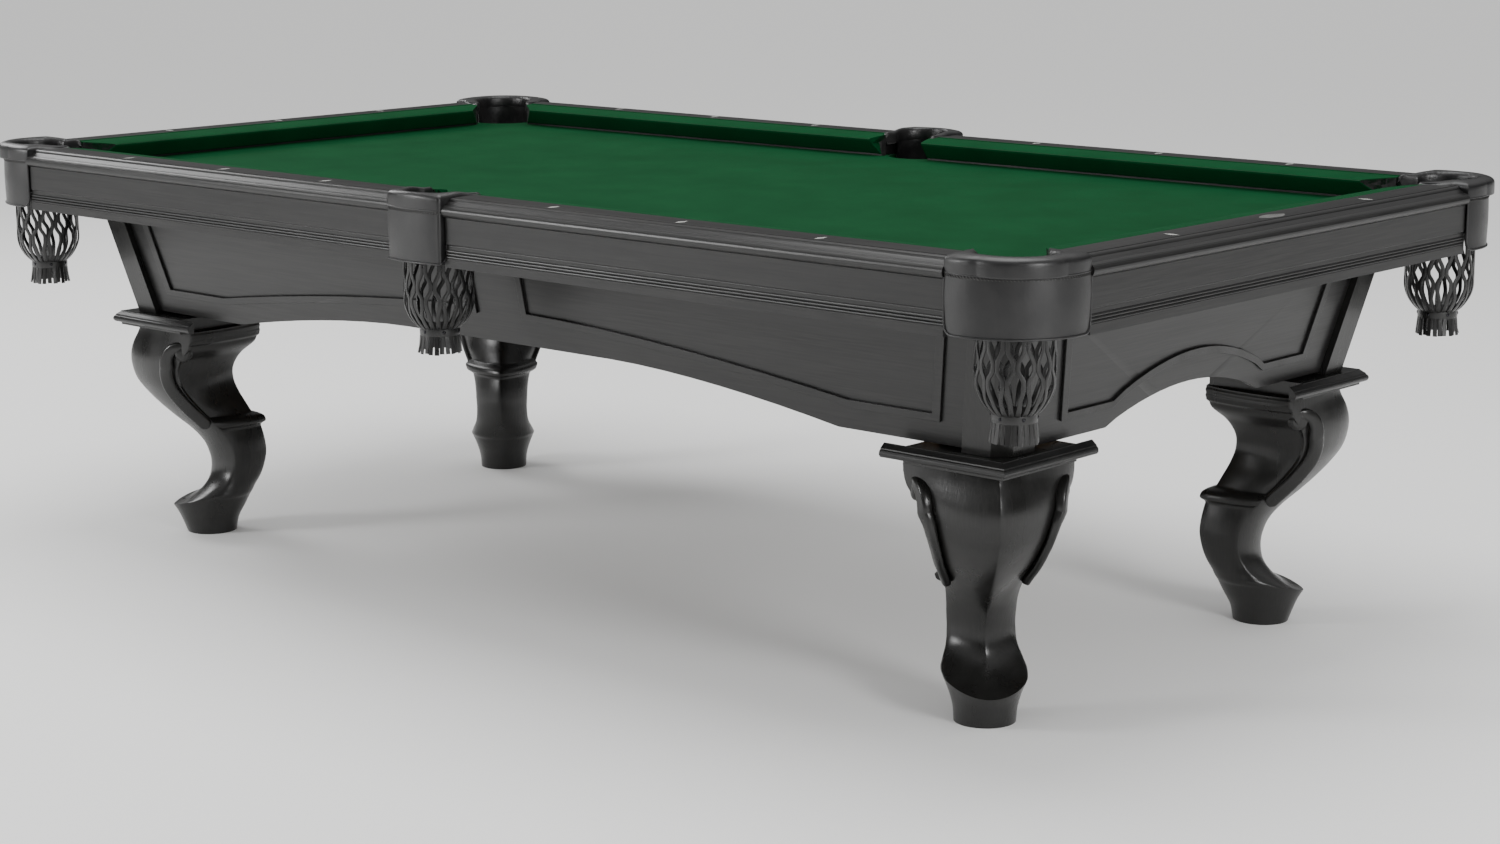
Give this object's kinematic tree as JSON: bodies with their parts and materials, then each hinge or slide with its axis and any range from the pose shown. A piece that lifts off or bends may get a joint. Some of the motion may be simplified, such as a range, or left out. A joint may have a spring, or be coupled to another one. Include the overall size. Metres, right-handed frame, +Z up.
{
  "type": "pool table",
  "caption": "Six-pocket pool table with green cloth on slate, leather drop pockets with hanging nets, sloping panelled cabinet and four carved scroll legs.",
  "frame": {"origin": "on the floor under the centre of the table", "axes": "+X along the length of the table, +Y across it to the back, +Z up"},
  "size_m": [2.5054, 1.412, 0.775],
  "materials": {
    "slate": "honed grey slate",
    "cloth": "dark green napless billiard cloth",
    "rail_wood": "charcoal stained hardwood, satin lacquer",
    "cushion_rubber": "moulded cushion rubber",
    "pearl": "silvery white inlay, polished flush",
    "plate_metal": "plain brushed plate",
    "pocket_leather": "black padded leather, soft sheen",
    "net_leather": "black leather strips",
    "iron": "cast pocket iron",
    "cabinet_wood": "charcoal stained hardwood, satin lacquer",
    "leg_wood": "charcoal stained hardwood, satin lacquer",
    "frame_wood": "unfinished frame timber",
    "steel": "zinc plated fasteners"
  },
  "bodies": {
    "table": {"slate_left": "slate", "slate_middle": "slate", "slate_right": "slate", "bed_cloth": "cloth", "rail_front_left": "rail_wood", "rail_front_right": "rail_wood", "rail_back_left": "rail_wood", "rail_back_right": "rail_wood", "rail_end_left": "rail_wood", "rail_end_right": "rail_wood", "cushion_front_left": "cushion_rubber", "cushion_front_right": "cushion_rubber", "cushion_back_left": "cushion_rubber", "cushion_back_right": "cushion_rubber", "cushion_end_left": "cushion_rubber", "cushion_end_right": "cushion_rubber", "fascia_front_left": "rail_wood", "fascia_front_right": "rail_wood", "fascia_back_left": "rail_wood", "fascia_back_right": "rail_wood", "fascia_end_left": "rail_wood", "fascia_end_right": "rail_wood", "cushion_cloths": "cloth", "feather_strips": "cloth", "sights": "pearl", "nameplate": "plate_metal", "leather_front_left": "pocket_leather", "leather_front_middle": "pocket_leather", "leather_front_right": "pocket_leather", "leather_back_left": "pocket_leather", "leather_back_middle": "pocket_leather", "leather_back_right": "pocket_leather", "net_front_left": "net_leather", "net_front_middle": "net_leather", "net_front_right": "net_leather", "net_back_left": "net_leather", "net_back_middle": "net_leather", "net_back_right": "net_leather", "pocket_irons": "iron", "pocket_bolts": "steel", "cabinet_front": "cabinet_wood", "cabinet_back": "cabinet_wood", "cabinet_left": "cabinet_wood", "cabinet_right": "cabinet_wood", "corner_posts": "cabinet_wood", "panel_mouldings": "cabinet_wood", "side_beams": "frame_wood", "end_beams": "frame_wood", "inner_beams": "frame_wood", "leg_front_left": "leg_wood", "leg_front_right": "leg_wood", "leg_back_left": "leg_wood", "leg_back_right": "leg_wood", "cap_front_left": "leg_wood", "cap_front_right": "leg_wood", "cap_back_left": "leg_wood", "cap_back_right": "leg_wood", "rail_bolts": "steel", "leg_bolts": "steel", "slate_screws": "steel"}
  },
  "joints": []
}
